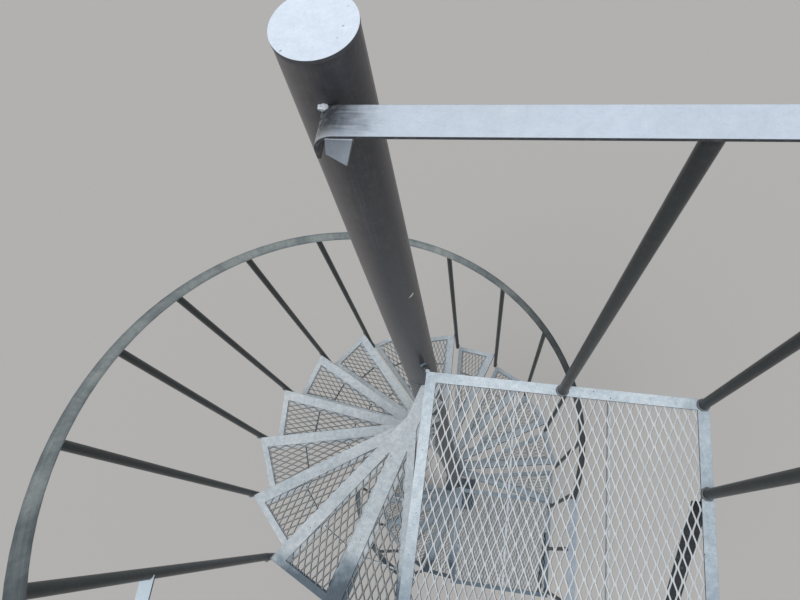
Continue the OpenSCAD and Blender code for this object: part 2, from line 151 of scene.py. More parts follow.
tiny = 0.00001  # a distance that counts as none
squareOn = 0.9  # from this share of its normal along an axis, a face looks that way
pieceFinish = {}  # what each piece is painted with


def chooseOnly(piece):
    bpy.ops.object.select_all(action="DESELECT")
    piece.select_set(True)
    bpy.context.view_layer.objects.active = piece


def pickFaces(piece, wanted):
    # edit mode: select the faces whose centre and normal pass the test
    bpy.ops.mesh.select_all(action="DESELECT")
    shape = bmesh.from_edit_mesh(piece.data)
    for face in shape.faces:
        if wanted(face.calc_center_median(), face.normal):
            face.select_set(True)
    bmesh.update_edit_mesh(piece.data)


def cutBeyond(piece, spot, outward):
    # cut away all that lies beyond a plane and close the cut
    chooseOnly(piece)
    bpy.ops.object.mode_set(mode="EDIT")
    bpy.ops.mesh.select_all(action="SELECT")
    bpy.ops.mesh.bisect(plane_co=spot, plane_no=outward, use_fill=True, clear_outer=True)
    bpy.ops.object.mode_set(mode="OBJECT")


def repeat(piece, step, count, mergeWithin=0.0):
    # a row of copies in one mesh, merged where they touch if a distance is given
    chooseOnly(piece)
    row = piece.modifiers.new("row", "ARRAY")
    row.use_relative_offset = False
    row.use_constant_offset = True
    row.constant_offset_displace = step
    row.count = count
    row.use_merge_vertices = mergeWithin > 0
    row.merge_threshold = mergeWithin
    bpy.ops.object.modifier_apply(modifier="row")


def copyOf(piece, name, turn=0.0, move=(0, 0, 0), tip=None):
    # a copy with its own mesh, tipped if need be, turned about Z and then moved
    made = piece.copy()
    made.data = piece.data.copy()
    made.name = name
    bpy.context.collection.objects.link(made)
    made.data.transform(Matrix.Translation(move) @ Matrix.Rotation(turn, 4, "Z") @ (tip or Matrix()))
    return made


def joined(name, pieces):
    chooseOnly(pieces[0])
    for piece in pieces[1:]:
        piece.select_set(True)
    bpy.ops.object.join()
    pieces[0].name = name
    return pieces[0]


def discard(piece):
    bpy.data.objects.remove(piece, do_unlink=True)


def keep(piece, slotName, finishName, *nodes):
    # a finished piece rides on the stair, wears a finish and stands for the given CAD nodes
    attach(piece, "root")
    if nodes:
        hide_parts(*nodes)
    pieceFinish[piece] = finishName


# raised expanded metal: zigzag strips, tilted and joined side by side

strand = {
    "long": 0.048, "short": 0.0204,  # one diamond
    "width": 0.0034, "thick": 0.0027,
    "joint": 0.006,  # length over which two strips stay together
    "tilt": math.radians(24),
    "mergeWithin": 0.00002,  # where one turn of the zigzag meets the next
    "spareTurns": 2,  # turns past the edges of a sheet, to be cut off
}


def turnsAlong(length):
    return math.ceil(length / strand["long"]) + strand["spareTurns"]


def makeStrip():
    # one turn of the zigzag along X: joint, strand away, joint, strand back
    across = strand["width"] * math.cos(strand["tilt"])
    lift = strand["width"] * math.sin(strand["tilt"])
    run = strand["long"] / 2 - strand["joint"]
    rise = strand["short"] / 2 - across
    bpy.ops.mesh.primitive_cube_add(
        size=1, location=(0, across / 2, lift / 2), rotation=(strand["tilt"], 0, 0),
        scale=(strand["joint"], strand["width"], strand["thick"]))
    strip = bpy.context.object
    strip.name = "strandStrip"
    bpy.ops.object.transform_apply(location=True, rotation=True, scale=True)
    bpy.ops.object.mode_set(mode="EDIT")
    pickFaces(strip, lambda spot, normal: normal.x > squareOn)
    for step in ((run, rise, -lift), (strand["joint"], 0, 0), (run, -rise, lift)):
        bpy.ops.mesh.extrude_region_move(TRANSFORM_OT_translate={"value": step})
    start = -strand["joint"] / 2
    end = strand["long"] - strand["joint"] / 2
    pickFaces(strip, lambda spot, normal: min(abs(spot.x - end), abs(spot.x - start)) < tiny)
    bpy.ops.mesh.delete(type="FACE")
    bpy.ops.object.mode_set(mode="OBJECT")
    return strip


def makeSheet(name, turns, pairs):
    # a field of strips from the origin, long way along X, open at both ends
    strip = makeStrip()
    repeat(strip, (strand["long"], 0, 0), turns, strand["mergeWithin"])
    beside = copyOf(strip, "besideStrip", move=(-strand["long"] / 2, strand["short"] / 2, 0))
    sheet = joined(name, [strip, beside])
    repeat(sheet, (0, strand["short"], 0), pairs)
    return sheet


landingMesh = {
    "left": 0.038, "far": -0.058, "width": 0.637, "length": 0.617,  # outline of the frame
    "depth": 0.0055,  # middle of the mesh below the top of the landing
    "inset": 0.0045,  # from the outer edge of the frame to the ends of the strips
    "pairs": {"left": 10, "middle": 10, "right": 13},  # pairs of strips in each third
    "ahead": 0.0036,  # how far before the far edge the diamonds start
}


def makeLandingMeshes():
    edge, length = landingMesh["inset"], landingMesh["length"]
    left, right = landingMesh["left"] + edge, landingMesh["left"] + landingMesh["width"] - edge
    start = landingMesh["left"]
    for side, pairs in landingMesh["pairs"].items():
        third = makeSheet("meshThird", turnsAlong(length), pairs)
        third.data.transform(Matrix.Translation((-landingMesh["ahead"], 0, 0)))
        cutBeyond(third, (edge, 0, 0), (-1, 0, 0))
        cutBeyond(third, (length - edge, 0, 0), (1, 0, 0))
        for level in ("upper", "lower"):
            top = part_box(level + "_landing_frame")[1].z
            panel = copyOf(third, level + "Mesh" + side.capitalize(), turn=-math.pi / 2,
                           move=(start, landingMesh["far"], top - landingMesh["depth"]))
            if side == "left":
                cutBeyond(panel, (left, 0, 0), (-1, 0, 0))
            if side == "right":
                cutBeyond(panel, (right, 0, 0), (1, 0, 0))
            keep(panel, "mesh_paint", "landingMesh", level + "_mesh_" + side)
        start += pairs * strand["short"]
        discard(third)


makeLandingMeshes()
print("landing meshes laid")


# treads

tread = {
    "radius": 0.665,
    "stepTurn": math.radians(20.26), "firstNosing": math.radians(105.3),
    "nosingShift": 0.018,  # how far the nosing line passes the column centre
    "nosingWidth": 0.037, "sideWidth": 0.021,
    "balusterWidth": 0.020, "rearCut": 0.002,  # room for the baluster at the rear corner
    "meshDepth": 0.0029,  # middle of the mesh below the top of the tread
    "meshGap": 0.001,  # between the nosing bar and the free edge of the mesh
    "meshCut": 0.55,  # where the mesh ends inside a side bar, as a share of its width
    "space": (-0.00401, 0.005),  # what is cut out between the bars, from the top of the tread
    "spaceLong": 1.2,  # its length before it is trimmed, as a share of the radius
    "spaceGap": 0.00025,  # between it and the side bars
    "pairs": 9, "leanPairs": 13,  # pairs of strips in a sheet along the nosing and in a turned one
    # how far the sheets of these treads of the upper flight are turned, degrees
    "leans": {1: 16.2, 2: 19.0, 3: 19.0, 7: 20.26, 8: 20.26},
}
treadRows = {"upper": ("tread_%02d", 14), "lower": ("lower_tread_%02d", 5)}


def polar(turn):
    return Vector((math.cos(turn), math.sin(turn), 0))


def leftOf(turn):
    return Vector((-math.sin(turn), math.cos(turn), 0))


def nosingTurn(step):
    return -tread["firstNosing"] - step * tread["stepTurn"]


def treadLines():
    # spots on the nosing, rear and outer edges of a tread with its outer corner on +X, and their turns
    skew = -math.asin(tread["nosingShift"] / tread["radius"])
    corner = tread["radius"] * polar(0)
    rearTurn = tread["stepTurn"] + skew
    rear = (tread["radius"] * polar(tread["stepTurn"]) - tread["balusterWidth"] * leftOf(rearTurn)
            - tread["rearCut"] * polar(rearTurn))
    outerTurn = math.atan2(rear.y, rear.x - tread["radius"])
    return (corner, skew), (rear, rearTurn), (corner, outerTurn)


def trimSides(piece, inside):
    # cut a piece along the rear and outer bars of a tread, at a distance from their outer edges
    (rear, rearTurn), (outer, outerTurn) = treadLines()[1:]
    cutBeyond(piece, rear - inside * leftOf(rearTurn), leftOf(rearTurn))
    cutBeyond(piece, outer + inside * leftOf(outerTurn), -leftOf(outerTurn))


def makeTreadMesh(lean):
    # the strips of one tread, whole along the nosing and cut under the outer and rear bars, or
    # turned towards the rear bar and cut all round
    corner, skew = treadLines()[0]
    turns = turnsAlong(tread["radius"])
    pairs = tread["leanPairs"] if lean else tread["pairs"]
    spare = strand["spareTurns"] if lean else 0
    edge = -strand["short"] / 2 if lean else tread["nosingWidth"] + tread["meshGap"]
    sheet = makeSheet("treadMesh", turns + spare, pairs)
    sheet.data.transform(
        Matrix.Translation(corner) @ Matrix.Rotation(skew + math.radians(lean), 4, "Z")
        @ Matrix.Translation(((1 - turns) * strand["long"], edge, -tread["meshDepth"])))
    trimSides(sheet, tread["sideWidth"] * tread["meshCut"])
    if lean:
        cutBeyond(sheet, corner + tread["nosingWidth"] * leftOf(skew), -leftOf(skew))
    return sheet


def makeWedge():
    # what fills a tread between its bars, from the ledge up
    corner, skew = treadLines()[0]
    size = tread["radius"]
    low, high = tread["space"]
    bpy.ops.mesh.primitive_cube_add(size=1, location=(size / 2, size / 4, (low + high) / 2),
                                    scale=(size * tread["spaceLong"], size, high - low))
    wedge = bpy.context.object
    wedge.name = "meshSpace"
    bpy.ops.object.transform_apply(location=True, rotation=True, scale=True)
    free = tread["nosingWidth"] + tread["meshGap"] / 2
    cutBeyond(wedge, corner + free * leftOf(skew), -leftOf(skew))
    trimSides(wedge, tread["sideWidth"] + tread["spaceGap"])
    return wedge


def makeTreadFrame(node, name, wedge, turn, top):
    # the bars of a CAD tread, with the pierced plate between them cut out
    bars = copyOf(stairNodes[node], name)
    chooseOnly(bars)
    bpy.ops.object.mode_set(mode="EDIT")
    bpy.ops.mesh.select_all(action="SELECT")
    bpy.ops.mesh.remove_doubles(threshold=tiny)
    bpy.ops.object.mode_set(mode="OBJECT")
    space = copyOf(wedge, "space", turn=turn, move=(0, 0, top))
    cut = bars.modifiers.new("meshSpace", "BOOLEAN")
    cut.operation = "DIFFERENCE"
    cut.solver = "MANIFOLD"
    cut.object = space
    bpy.ops.object.modifier_apply(modifier="meshSpace")
    discard(space)
    return bars


def makeTreads():
    wedge = makeWedge()
    nettings = {lean: makeTreadMesh(lean) for lean in sorted({0, *tread["leans"].values()})}
    for flight, (nodeName, count) in treadRows.items():
        leans = tread["leans"] if flight == "upper" else {}
        for step in range(count):
            node = nodeName % (step + 1)
            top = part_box(node)[1].z
            turn = nosingTurn(step)
            stem = flight + "Tread%02d" % (step + 1)
            bars = makeTreadFrame(node, stem + "Frame", wedge, turn, top)
            keep(bars, "frame_paint", "frame", node)
            netting = nettings[leans.get(step + 1, 0)]
            netCopy = copyOf(netting, stem + "Mesh", turn=turn, move=(0, 0, top))
            keep(netCopy, "mesh_paint", "treadMesh", node)
    for netting in nettings.values():
        discard(netting)
    discard(wedge)


makeTreads()
print("treads built:", sum(count for name, count in treadRows.values()))


# weld beads

weld = {
    "bead": 0.0028,  # half the width of a bead
    "standOff": 0.3,  # middle of the bead off the bar, as a share of that
    "aroundBar": 32, "aroundBead": 6,  # faces
    "rough": 0.0007, "even": 0.6,
    "landingBar": 0.011, "treadBar": 0.010, "column": 0.044,  # radii of what they run round
    "aboveLanding": 0.0004, "belowRail": 0.0006, "aboveTread": 0.0002, "columnFoot": 0.0125,
    # parts of a ring, degrees: ahead of and behind the balusters of the treads, and at the column
    "aheadArc": (31.5, 157.5), "behindArc": (-157.5, -31.5), "hubArc": (-25, 21),
    "seeds": {"ring": 3, "ahead": 5, "behind": 8, "hub": 13, "foot": 55},
}
# landings: height, turns of the beads at foot and top so that they differ, and for each
# baluster its foot and how far its top leans out
railing = {
    "upper": {"landing": 4.305, "height": 0.926, "turns": (0.0, 1.3), "bars": (
        ((0.3565, -0.0705), (0.020, 0.020)), ((0.6625, -0.0705), (0.022, 0.0325)),
        ((0.6625, -0.262), (0.015, 0.0)), ((0.6625, -0.635), (0.0015, 0.0)))},
    "lower": {"landing": 1.230, "height": 1.136, "turns": (0.7, 2.1), "bars": (
        ((0.6625, -0.375), (0.0, 0.0)), ((0.6625, -0.635), (0.0, 0.0)))},
}
treadBars = {"radius": 0.668, "ahead": math.radians(0.858)}  # circle of the tread balusters
# lumps at the lug and corner of a landing, measured from its top, and at the tab of the handrail
lumps = {
    "Lug": {"size": (0.010, 0.009, 0.005), "spot": (0.0335, -0.0470, -0.0135), "seed": 21},
    "Corner": {"size": (0.0055, 0.0045, 0.003), "spot": (0.0405, -0.0565, -0.0005), "seed": 27},
    "tab": {"size": (0.006, 0.0045, 0.0045), "spot": (0.003, -0.0455, 5.2305), "seed": 34},
    "rough": 0.12, "leastRough": 0.0003,  # share of the smallest size, and what is added to it
}


def roughen(piece, amount, seed):
    chooseOnly(piece)
    bpy.ops.object.mode_set(mode="EDIT")
    bpy.ops.mesh.select_all(action="SELECT")
    bpy.ops.transform.vertex_random(offset=amount, uniform=weld["even"], normal=0.0, seed=seed)
    bpy.ops.mesh.normals_make_consistent(inside=False)
    bpy.ops.object.mode_set(mode="OBJECT")
    bpy.ops.object.shade_smooth()


def makeRing(kind, radius, arc=None):
    # uneven bead round an upright bar, or only the part of it between two turns
    bead = weld["bead"]
    bpy.ops.mesh.primitive_torus_add(
        major_radius=radius + weld["standOff"] * bead, minor_radius=bead,
        major_segments=weld["aroundBar"], minor_segments=weld["aroundBead"])
    ring = bpy.context.object
    ring.name = kind + "Bead"
    if arc:
        start, end = (math.radians(turn) for turn in arc)
        cutBeyond(ring, (0, 0, 0), -leftOf(start))
        cutBeyond(ring, (0, 0, 0), leftOf(end))
    roughen(ring, weld["rough"], weld["seeds"][kind])
    return ring


def makeLump(name, kind, level=0.0):
    # lump of weld metal
    size, (x, y, z) = lumps[kind]["size"], lumps[kind]["spot"]
    bpy.ops.mesh.primitive_ico_sphere_add(subdivisions=3, radius=1, location=(x, y, z + level),
                                          scale=size)
    lump = bpy.context.object
    lump.name = name
    bpy.ops.object.transform_apply(location=True, rotation=True, scale=True)
    roughen(lump, lumps["rough"] * min(size) + lumps["leastRough"], lumps[kind]["seed"])
    return lump


def weldBalusters():
    # at the foot and the top of each baluster of a landing
    ring = makeRing("ring", weld["landingBar"])
    for level, rail in railing.items():
        footTurn, topTurn = rail["turns"]
        foot = rail["landing"] + weld["aboveLanding"]
        top = rail["landing"] + rail["height"] - weld["belowRail"]
        beads = []
        for (x, y), (leanX, leanY) in rail["bars"]:
            beads.append(copyOf(ring, "bead", turn=footTurn, move=(x, y, foot)))
            beads.append(copyOf(ring, "bead", turn=topTurn, move=(x + leanX, y + leanY, top)))
        keep(joined(level + "BalusterBeads", beads), "baluster_paint", "bead")
    discard(ring)


def weldTreads():
    # each tread to the baluster at its nosing, to the one at its rear and to the column
    ahead = makeRing("ahead", weld["treadBar"], weld["aheadArc"])
    behind = makeRing("behind", weld["treadBar"], weld["behindArc"])
    hub = makeRing("hub", weld["column"], weld["hubArc"])
    for flight, (nodeName, count) in treadRows.items():
        beads = []
        for step in range(count):
            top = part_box(nodeName % (step + 1))[1].z + weld["aboveTread"]
            nosing = nosingTurn(step)
            for arc, turn in ((ahead, nosing), (behind, nosing + tread["stepTurn"])):
                bar = treadBars["radius"] * polar(turn - treadBars["ahead"])
                if arc is behind and step == 0:
                    continue
                beads.append(copyOf(arc, "bead", turn=turn, move=(bar.x, bar.y, top)))
            beads.append(copyOf(hub, "bead", turn=nosing, move=(0, 0, top)))
        keep(joined(flight + "TreadBeads", beads), "frame_paint", "bead")
    for arc in (ahead, behind, hub):
        discard(arc)


def weldLumps():
    for level, rail in railing.items():
        # the lump on the lug is painted dark all over, as painted shade beside the column
        for kind, finishName in (("Lug", "shadedBead"), ("Corner", "brightBead")):
            lump = makeLump(level + kind + "Bead", kind, rail["landing"])
            keep(lump, "frame_paint", finishName)
    keep(makeLump("tabBead", "tab"), "rail_paint", "brightBead")


def weldColumnFoot():
    foot = makeRing("foot", weld["column"])
    foot.name = "columnFootBead"
    foot.data.transform(Matrix.Translation((0, 0, weld["columnFoot"])))
    keep(foot, "column_paint", "bead")


weldBalusters()
weldTreads()
weldLumps()
weldColumnFoot()
print("weld beads laid")


# anchors through the base plate and into the wall

anchor = {
    "washer": 0.012, "washerThick": 0.0025,
    "nut": 0.011, "nutHigh": 0.010,
    "stud": 0.006, "studHigh": 0.022,
    "edge": 0.0005, "edgeSegments": 2, "smooth": math.radians(35),
    "plate": 0.012, "plateGap": 0.100,  # top of the base plate and its holes from the middle
    "plateTurn": 0.4,  # from one bolt of the plate to the next
    "wallFace": -0.671, "wallDrop": 0.021, "wallHoles": (0.128, 0.585), "wallScale": 10 / 12,
}


def makeAnchor():
    parts = []
    for name, sides, radius, low, high in (
            ("washer", 32, anchor["washer"], 0, anchor["washerThick"]),
            ("nut", 6, anchor["nut"], anchor["washerThick"], anchor["washerThick"] + anchor["nutHigh"]),
            ("stud", 16, anchor["stud"], 0, anchor["studHigh"])):
        bpy.ops.mesh.primitive_cylinder_add(vertices=sides, radius=radius, depth=high - low,
                                            location=(0, 0, (low + high) / 2))
        part = bpy.context.object
        part.name = name
        bpy.ops.object.transform_apply(location=True)
        edge = part.modifiers.new("edge", "BEVEL")
        edge.width = anchor["edge"]
        edge.segments = anchor["edgeSegments"]
        bpy.ops.object.modifier_apply(modifier="edge")
        bpy.ops.object.shade_smooth_by_angle(angle=anchor["smooth"])
        parts.append(part)
    return joined("anchorBolt", parts)


def placeAnchors():
    bolt = makeAnchor()
    gap = anchor["plateGap"]
    bolts = []
    for x in (-gap, gap):
        for y in (-gap, gap):
            turn = anchor["plateTurn"] * len(bolts)
            bolts.append(copyOf(bolt, "bolt", turn=turn, move=(x, y, anchor["plate"])))
    keep(joined("basePlateAnchors", bolts), "frame_paint", "bead")
    tip = Matrix.Rotation(-math.pi / 2, 4, "X") @ Matrix.Scale(anchor["wallScale"], 4)
    for level, rail in railing.items():
        bolts = []
        for x in anchor["wallHoles"]:
            spot = (x, anchor["wallFace"], rail["landing"] - anchor["wallDrop"])
            bolts.append(copyOf(bolt, "bolt", tip=tip, move=spot))
        keep(joined(level + "WallAnchors", bolts), "frame_paint", "bead")
    discard(bolt)


placeAnchors()
print("anchors fastened")


# shared surface groups

socketKinds = {"VALUE": "NodeSocketFloat", "VECTOR": "NodeSocketVector", "RGBA": "NodeSocketColor"}


def newGroup(name, inputs):
    # each input has a name and the number or the vector that it starts with
    group = bpy.data.node_groups.new(name, "ShaderNodeTree")
    for label, value in inputs.items():
        kind = "VALUE" if isinstance(value, float) else "VECTOR"
        socket = group.interface.new_socket(name=label, in_out="INPUT", socket_type=socketKinds[kind])
        socket.default_value = value
    return group, group.nodes.new("NodeGroupInput").outputs


def giveOut(group, **values):
    for label, value in values.items():
        group.interface.new_socket(name=label, in_out="OUTPUT", socket_type=socketKinds[value.type])
    result = group.nodes.new("NodeGroupOutput")
    for label, value in values.items():
        group.links.new(value, result.inputs[label])
    return group


def vectorNode(tree, operation, *values):
    return addNode(tree, "ShaderNodeVectorMath", dict(enumerate(values)), operation=operation).outputs


def objectPlace(tree):
    return addNode(tree, "ShaderNodeTexCoord").outputs["Object"]


def axesOf(tree, place):
    return addNode(tree, "ShaderNodeSeparateXYZ", {0: place}).outputs


def noiseNode(tree, vector, scale, detail=2.0, roughness=0.5):
    values = {"Vector": vector, "Scale": scale, "Detail": detail, "Roughness": roughness}
    return addNode(tree, "ShaderNodeTexNoise", values).outputs


def centred(tree, noise, middle=0.5):
    return mathNode(tree, "SUBTRACT", noise["Fac"], middle)


def rampNode(tree, value, low, high, least=0.0, most=1.0, kind="SMOOTHSTEP"):
    values = {"Value": value, "From Min": low, "From Max": high, "To Min": least, "To Max": most}
    return addNode(tree, "ShaderNodeMapRange", values, interpolation_type=kind).outputs["Result"]


def makeFacing():
    # how far a face turns towards a direction, broken up in patches
    group, given = newGroup("facing", {
        "Direction": (0.0, 0.0, 1.0), "From": 0.15, "To": 0.85,
        "Patch Size": 30.0, "Patchiness": 0.2,
    })
    face = addNode(group, "ShaderNodeNewGeometry").outputs["Normal"]
    match = vectorNode(group, "DOT_PRODUCT", face, given["Direction"])["Value"]
    patches = noiseNode(group, objectPlace(group), given["Patch Size"], 5.0, 0.6)
    pushed = mathNode(group, "MULTIPLY_ADD", centred(group, patches), given["Patchiness"], match)
    return giveOut(group, Mask=rampNode(group, pushed, given["From"], given["To"]))


def makePaintGrain():
    # cloudy tone, brush drag and orange peel of thick gloss paint
    group, given = newGroup("paintGrain", {
        "Cloud Size": 4.0, "Grain Size": 70.0, "Peel Size": 260.0,
        "Drag": 0.3, "Drag Size": 420.0, "Drag Scale": (1.0, 1.0, 0.06),
    })
    place = objectPlace(group)
    clouds = noiseNode(group, place, given["Cloud Size"], 6.0, 0.62)
    grain = noiseNode(group, place, given["Grain Size"], 4.0, 0.65)
    stretched = vectorNode(group, "MULTIPLY", place, given["Drag Scale"])[0]
    drag = noiseNode(group, stretched, given["Drag Size"], 1.0)
    both = mathNode(group, "ADD", clouds["Fac"], grain["Fac"])
    halved = mathNode(group, "MULTIPLY", both, 0.5)
    tone = mathNode(group, "MULTIPLY_ADD", centred(group, drag), given["Drag"], halved)
    peel = noiseNode(group, place, given["Peel Size"])
    height = mathNode(group, "MULTIPLY_ADD", drag["Fac"], given["Drag"], peel["Fac"])
    return giveOut(group, Tone=tone, Height=height)


def makeDarkSpecks():
    # sparse ragged pits where the paint has popped off down to dark steel
    group, given = newGroup("darkSpecks", {
        "Spacing": 80.0, "Size": 0.16, "Share": 0.25,
        "Rag": 0.12, "Rag Size": 420.0, "Bend": 0.003,
    })
    place = objectPlace(group)
    rag = noiseNode(group, place, given["Rag Size"])
    bent = addNode(group, "ShaderNodeMix", {0: given["Bend"], 4: place, 5: rag["Color"]},
                   data_type="VECTOR").outputs[1]
    cells = addNode(group, "ShaderNodeTexVoronoi", {"Vector": bent, "Scale": given["Spacing"]},
                    feature="F1").outputs
    pick = addNode(group, "ShaderNodeSeparateColor", {0: cells["Color"]}).outputs
    chosen = mathNode(group, "LESS_THAN", pick["Red"], given["Share"])
    ownSize = mathNode(group, "MULTIPLY", pick["Green"], given["Size"])
    ragged = mathNode(group, "MULTIPLY_ADD", rag["Fac"], given["Rag"], cells["Distance"])
    lowered = mathNode(group, "MULTIPLY_ADD", given["Rag"], -0.5, ragged)  # rag to both sides
    inside = mathNode(group, "LESS_THAN", lowered, ownSize)
    strength = mathNode(group, "MULTIPLY_ADD", pick["Blue"], 0.6, 0.4)  # faint pits and full ones
    mask = mathNode(group, "MULTIPLY", mathNode(group, "MULTIPLY", inside, chosen), strength)
    return giveOut(group, Mask=mask)


def makeRainAndSheenStreaks():
    # narrow pale runs down the upright faces: runs of rain, and on the column painted highlight streaks
    group, given = newGroup("rainAndSheenStreaks", {"Width": 90.0, "Length": 0.03, "From": 0.6, "To": 0.85})
    squeeze = addNode(group, "ShaderNodeCombineXYZ", {0: 1.0, 1: 1.0, 2: given["Length"]})
    runs = vectorNode(group, "MULTIPLY", objectPlace(group), squeeze.outputs[0])[0]
    noise = noiseNode(group, runs, given["Width"], 3.0)
    return giveOut(group, Mask=rampNode(group, noise["Fac"], given["From"], given["To"]))


def makeEdgeRub():
    # worn arrises: where a rounded normal turns away from the flat one
    group, given = newGroup("edgeRub", {
        "Round": 0.0016, "Rag": 0.5, "Rag Size": 120.0, "From": 1.02, "To": 1.24,
    })
    flat = addNode(group, "ShaderNodeNewGeometry").outputs["Normal"]
    rounded = addNode(group, "ShaderNodeBevel", {"Radius": given["Round"]}, samples=4).outputs["Normal"]
    match = vectorNode(group, "DOT_PRODUCT", flat, rounded)["Value"]
    rag = noiseNode(group, objectPlace(group), given["Rag Size"], 4.0)
    lowered = mathNode(group, "MULTIPLY_ADD", rag["Fac"], given["Rag"], match)
    mask = rampNode(group, lowered, given["From"], given["To"], 1.0, 0.0, "LINEAR")
    return giveOut(group, Mask=mask, Normal=rounded)


def makeStandShade():
    # darker low down under the flights, beside the building, along the right edge and in the
    # depth of each frame
    group, given = newGroup("standShade", {
        "Patch Size": 9.0,
        "Low Shade": 0.5, "Low From": 1.2, "Low To": 2.9, "Low Rag": 0.5,
        "Wall Shade": 0.8, "Wall From": -0.485, "Wall To": -0.57, "Wall Rag": 0.16,
        "Right Shade": 1.0, "Right From": 0.60, "Right To": 0.655,
        "Sunk Shade": 1.0, "Top": 4.307, "Riser": 0.205, "Rim": 0.036,
    })
    place = objectPlace(group)
    axes = axesOf(group, place)
    patches = centred(group, noiseNode(group, place, given["Patch Size"], 5.0, 0.65))
    height = mathNode(group, "MULTIPLY_ADD", patches, given["Low Rag"], axes["Z"])
    low = rampNode(group, height, given["Low From"], given["Low To"], given["Low Shade"], 1.0)
    depth = mathNode(group, "MULTIPLY_ADD", patches, given["Wall Rag"], axes["Y"])
    wall = rampNode(group, depth, given["Wall To"], given["Wall From"], given["Wall Shade"], 1.0)
    right = rampNode(group, axes["X"], given["Right From"], given["Right To"], 1.0, given["Right Shade"])
    fall = mathNode(group, "SUBTRACT", given["Top"], axes["Z"])
    steps = mathNode(group, "DIVIDE", fall, given["Riser"])
    under = mathNode(group, "GREATER_THAN", mathNode(group, "FRACT", steps), given["Rim"])
    sunk = rampNode(group, under, 0.0, 1.0, 1.0, given["Sunk Shade"], "LINEAR")
    outer = mathNode(group, "MULTIPLY", low, wall)
    shade = mathNode(group, "MULTIPLY", outer, mathNode(group, "MULTIPLY", right, sunk))
    return giveOut(group, Shade=shade)


def makeCoolShade():
    # a grey multiplier as a colour that turns blue as it darkens
    group, given = newGroup("coolShade", {"Shade": 1.0, "Red": 1.15, "Green": 1.0, "Blue": 0.88})
    powers = [mathNode(group, "POWER", given["Shade"], given[part]) for part in ("Red", "Green", "Blue")]
    tint = addNode(group, "ShaderNodeCombineColor", dict(enumerate(powers)))
    return giveOut(group, Color=tint.outputs["Color"])


def makeColumnReflectionEnd():
    # painted reflection of the dark column on the end of the handrail, streaked and blotched, that fades
    # out along X
    group, given = newGroup("columnReflectionEnd", {
        "From": 0.0, "To": 0.1, "Rag": 0.04, "Edge": -0.096, "Edge Full": -0.066,
        "Start": -0.010, "Start Full": 0.004,
        "Line Size": 260.0, "Line Scale": (0.12, 1.0, 1.0), "Blot Size": 45.0,
    })
    place = objectPlace(group)
    axes = axesOf(group, place)
    stretched = vectorNode(group, "MULTIPLY", place, given["Line Scale"])[0]
    lines = noiseNode(group, stretched, given["Line Size"], 3.0, 0.6)
    blots = noiseNode(group, place, given["Blot Size"], 3.0, 0.6)
    both = mathNode(group, "ADD", lines["Fac"], blots["Fac"])
    spread = mathNode(group, "SUBTRACT", both, 1.0)
    pushed = mathNode(group, "MULTIPLY_ADD", spread, given["Rag"], axes["X"])
    ramp = rampNode(group, pushed, given["From"], given["To"], 1.0, 0.0)
    within = rampNode(group, axes["Y"], given["Edge"], given["Edge Full"])
    behind = rampNode(group, pushed, given["Start"], given["Start Full"])
    ends = mathNode(group, "MULTIPLY", within, behind)
    return giveOut(group, Mask=mathNode(group, "MULTIPLY", ramp, ends))


def makeRoundDrag():
    # brush lines and blotches that follow a rail round the column
    group, given = newGroup("roundDrag", {
        "Lines": 900.0, "Line Share": 0.35, "Blotches": 9.0, "Blotch Share": 0.65, "Rise": 0.006,
        "Middle": 0.666, "Edge From": 0.004, "Edge To": 0.015, "Edge Shade": 0.12,
    })
    place = objectPlace(group)
    axes = axesOf(group, place)
    flat = addNode(group, "ShaderNodeCombineXYZ", {0: axes["X"], 1: axes["Y"]}).outputs[0]
    radius = vectorNode(group, "LENGTH", flat)["Value"]
    slow = mathNode(group, "MULTIPLY", axes["Z"], given["Rise"])
    turned = addNode(group, "ShaderNodeCombineXYZ", {0: radius, 1: slow}).outputs[0]
    lines = noiseNode(group, turned, given["Lines"])
    blotches = noiseNode(group, place, given["Blotches"], 4.0, 0.6)
    soft = mathNode(group, "MULTIPLY", blotches["Fac"], given["Blotch Share"])
    both = mathNode(group, "MULTIPLY_ADD", lines["Fac"], given["Line Share"], soft)
    away = mathNode(group, "ABSOLUTE", mathNode(group, "SUBTRACT", radius, given["Middle"]))
    edges = rampNode(group, away, given["Edge From"], given["Edge To"], 0.0, given["Edge Shade"])
    return giveOut(group, Tone=mathNode(group, "SUBTRACT", both, edges))


def makeChip():
    # one small ragged place where the paint is knocked off
    group, given = newGroup("chip", {
        "Spot": (0.0, 0.0, 0.0), "Half Size": (0.006, 0.008, 0.003),
        "Rag": 1.2, "Rag Size": 300.0, "From": 1.35, "To": 1.65,
    })
    place = objectPlace(group)
    away = vectorNode(group, "SUBTRACT", place, given["Spot"])[0]
    sized = vectorNode(group, "DIVIDE", away, given["Half Size"])[0]
    far = vectorNode(group, "LENGTH", sized)["Value"]
    rag = noiseNode(group, place, given["Rag Size"], 3.0)
    ragged = mathNode(group, "MULTIPLY_ADD", rag["Fac"], given["Rag"], far)
    return giveOut(group, Mask=rampNode(group, ragged, given["From"], given["To"], 1.0, 0.0))


surfaceGroups = {
    "facing": makeFacing(), "grain": makePaintGrain(), "specks": makeDarkSpecks(),
    "streaks": makeRainAndSheenStreaks(), "rub": makeEdgeRub(), "stand": makeStandShade(),
    "cool": makeCoolShade(), "columnReflection": makeColumnReflectionEnd(), "round": makeRoundDrag(), "chip": makeChip(),
}
